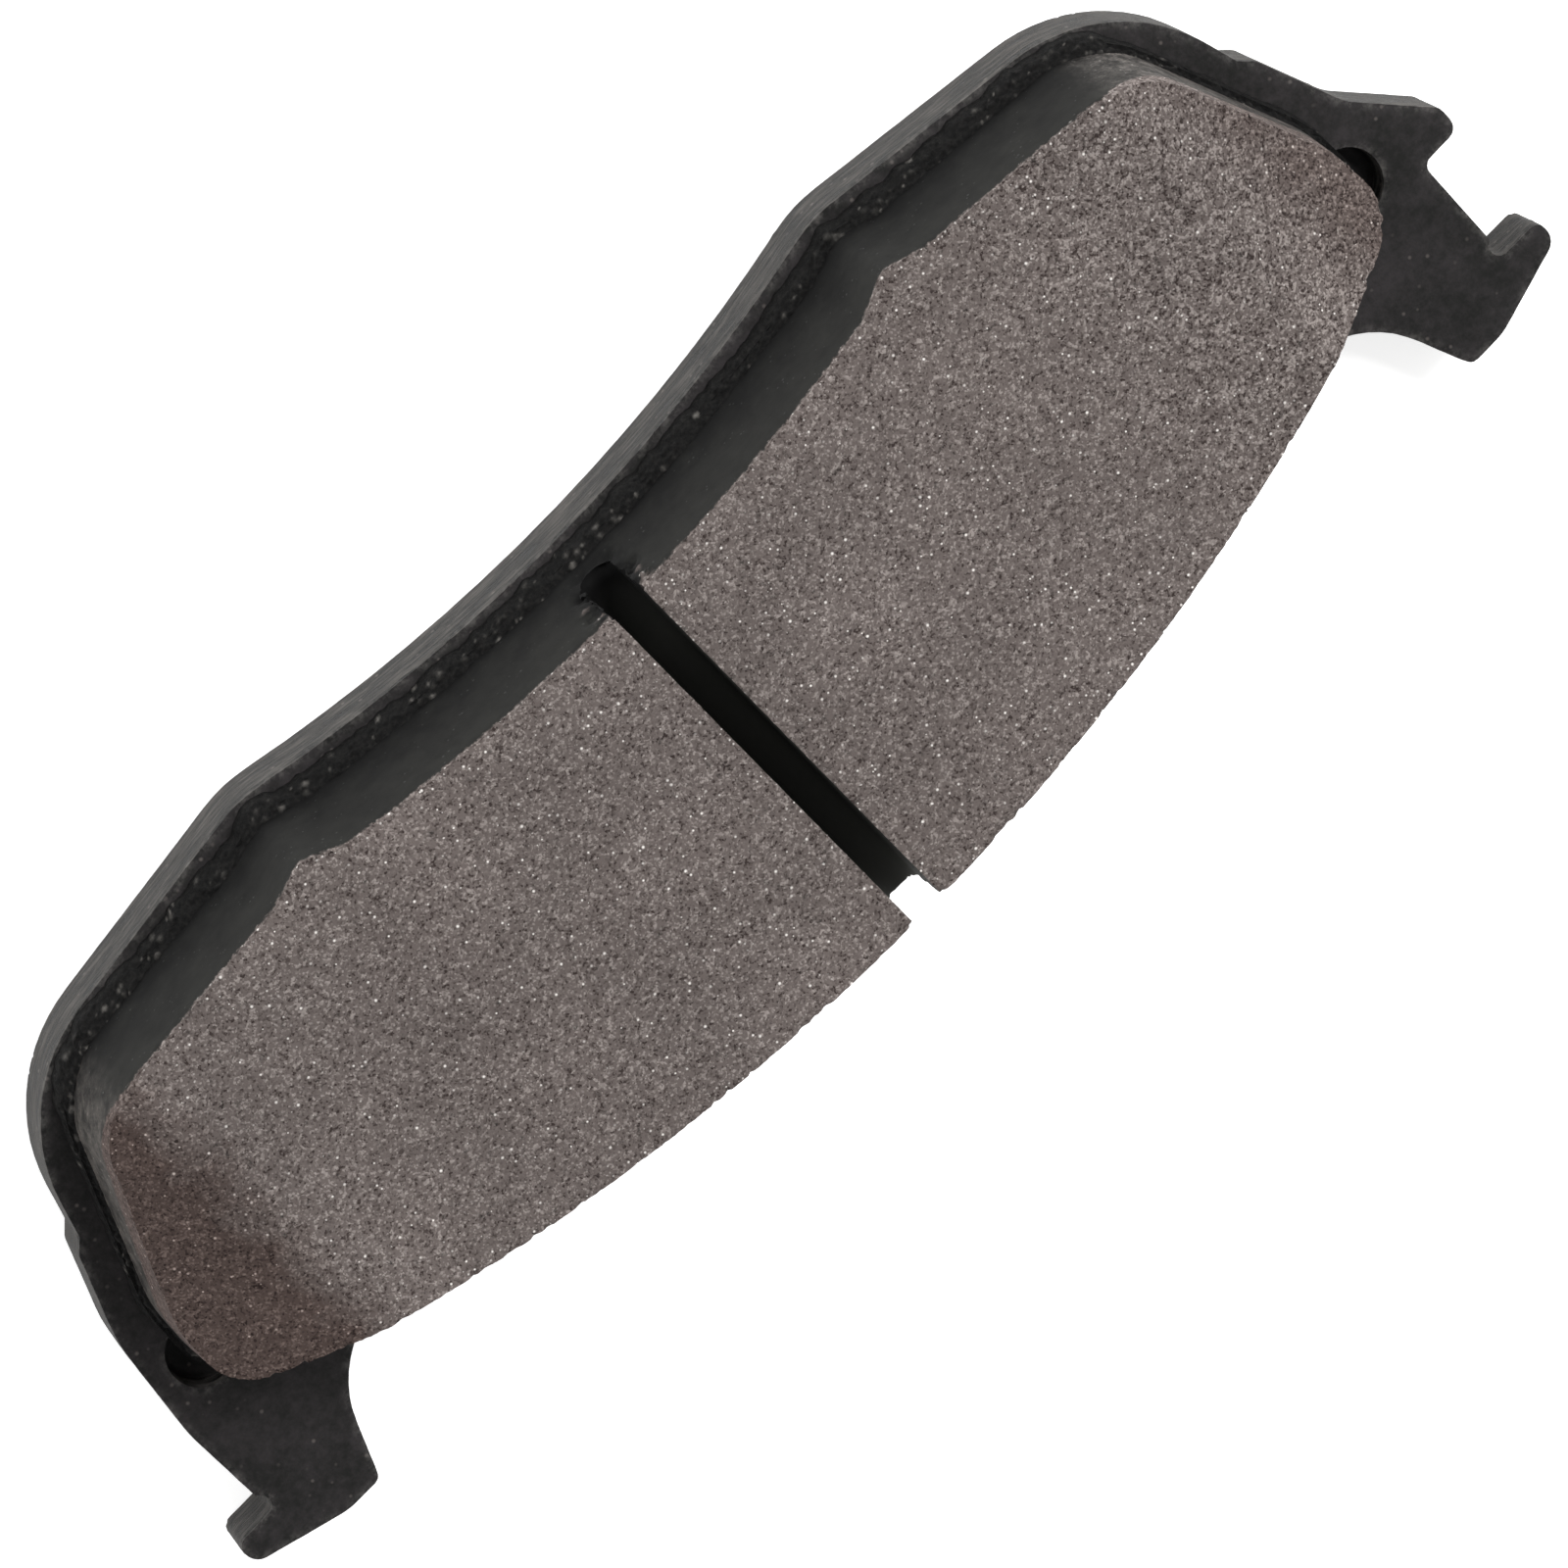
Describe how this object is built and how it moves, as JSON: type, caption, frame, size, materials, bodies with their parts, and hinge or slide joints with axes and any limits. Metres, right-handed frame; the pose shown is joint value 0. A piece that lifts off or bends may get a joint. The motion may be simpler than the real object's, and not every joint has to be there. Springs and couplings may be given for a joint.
{
  "type": "disc brake pad",
  "caption": "Disc brake pad: stamped steel backing plate with hooked ears, slotted and chamfered friction block, and a damping shim on the back.",
  "frame": {"origin": "middle of the shim's outer face, under the centre of the pad's outline; the pad lies on its back", "axes": "+X along the pad towards the ear without a horn, +Y towards the outside of the disc, +Z out of the friction face towards the disc"},
  "size_m": [0.1501, 0.0496, 0.0189],
  "materials": {
    "powder_coated_steel": "black powder coat over stamped steel",
    "bonding_adhesive": "baked phenolic film",
    "underlayer_compound": "moulded, rough",
    "friction_compound": "ground, speckled",
    "shim_adhesive": "acrylic film",
    "shim_rubber": "thin nitrile coating",
    "shim_steel": "cold-rolled"
  },
  "bodies": {
    "root": {"backing_plate": "powder_coated_steel", "bonding_film": "bonding_adhesive", "underlayer": "underlayer_compound", "friction_block": "friction_compound", "shim_adhesive": "shim_adhesive", "shim_inner_rubber": "shim_rubber", "shim_steel_core": "shim_steel", "shim_outer_rubber": "shim_rubber"}
  },
  "joints": []
}
